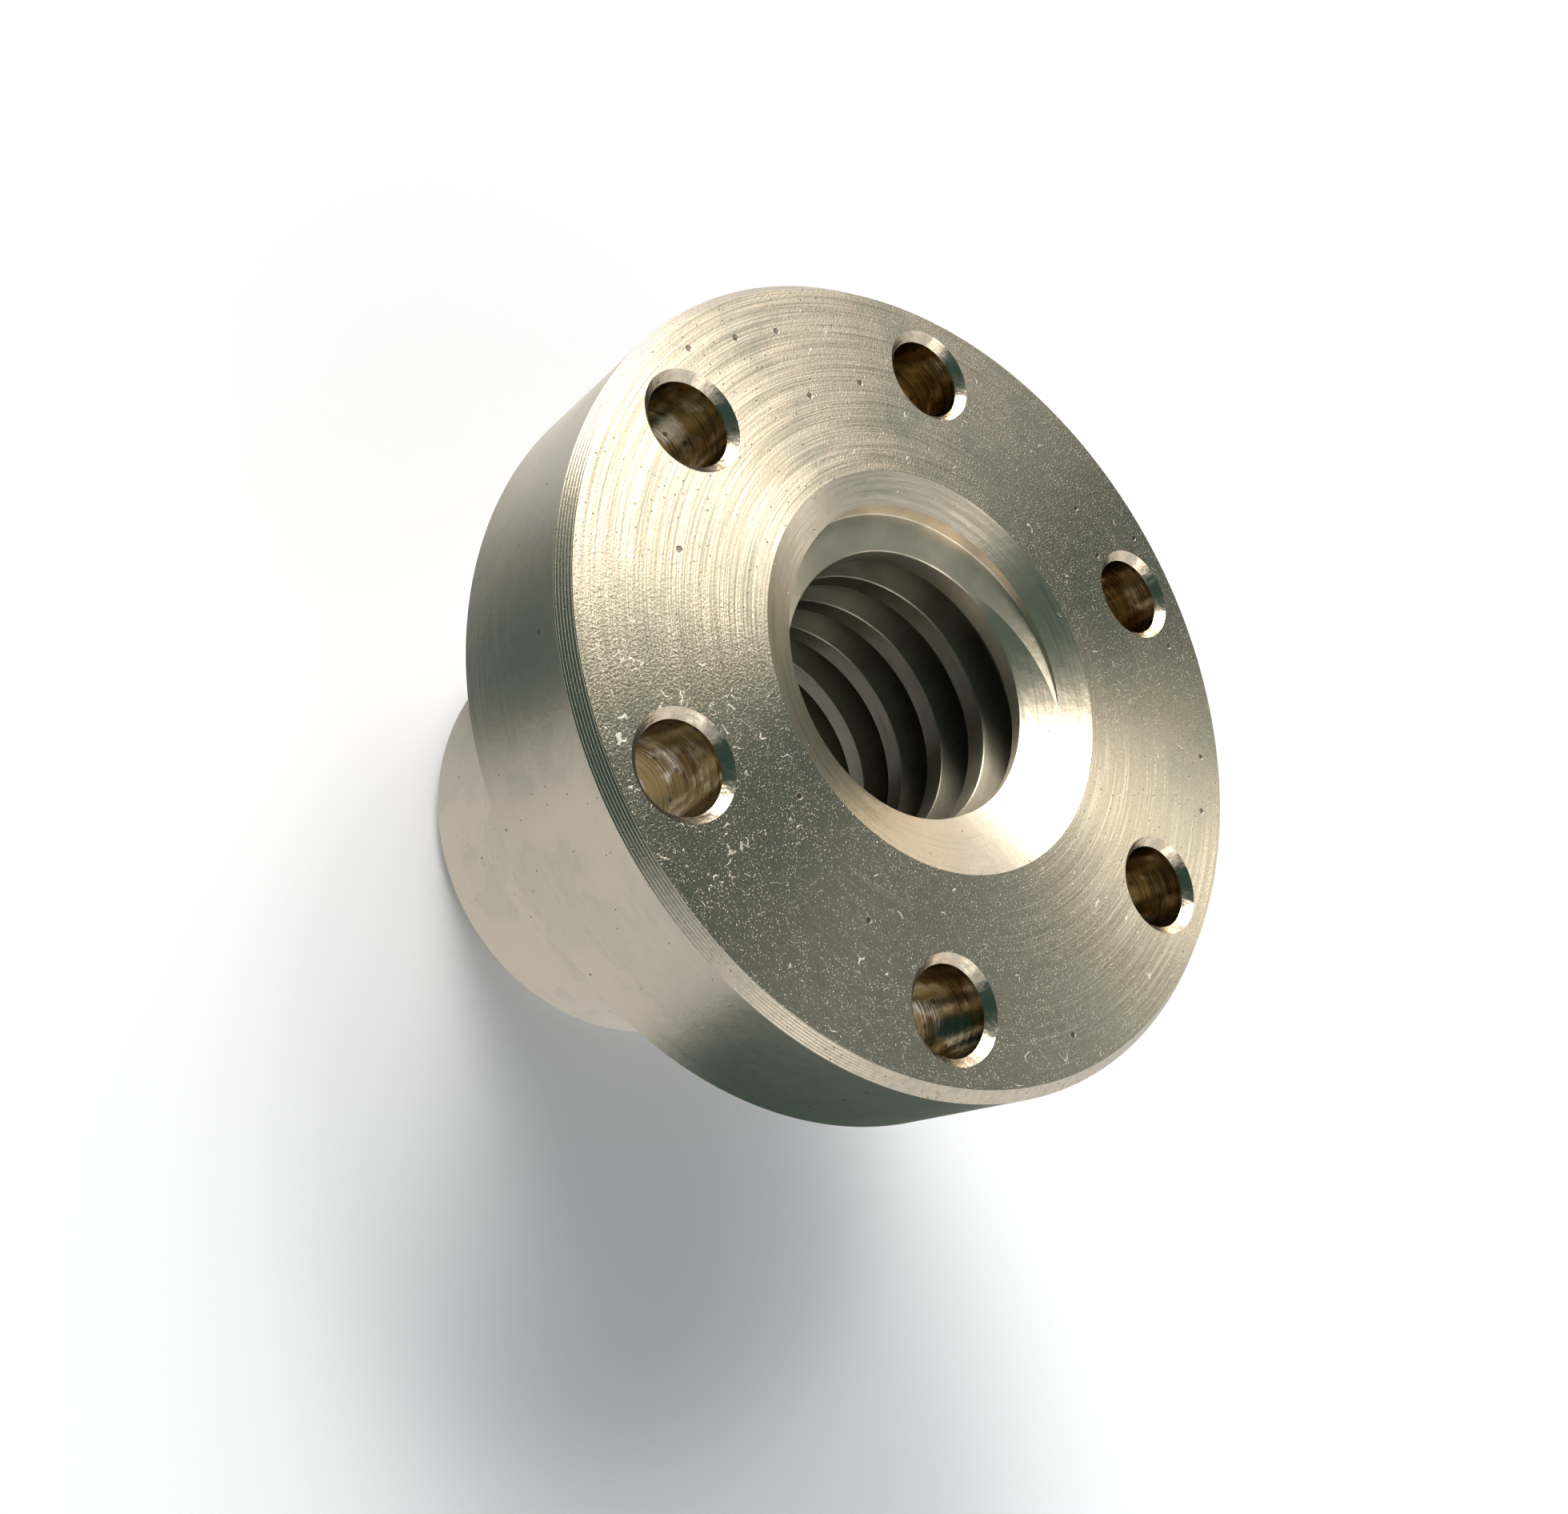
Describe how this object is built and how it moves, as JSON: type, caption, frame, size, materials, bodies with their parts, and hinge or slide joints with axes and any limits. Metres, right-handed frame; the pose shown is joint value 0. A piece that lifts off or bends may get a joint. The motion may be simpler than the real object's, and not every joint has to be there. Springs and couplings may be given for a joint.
{
  "type": "lead screw nut",
  "caption": "Round flanged nut for a trapezoidal lead screw: a cylindrical body with a left-hand thread through it and a wide flange with a ring of screw holes.",
  "frame": {"origin": "centre of the thread's axis on the flange's seat, the face that bolts to a bracket", "axes": "+Z along the thread's axis, out of the mouth with the countersink; one screw hole lies on +Y"},
  "size_m": [0.062, 0.062, 0.045],
  "materials": {
    "bronze": "as turned, satin"
  },
  "bodies": {
    "root": {"nut": "bronze"}
  },
  "joints": []
}
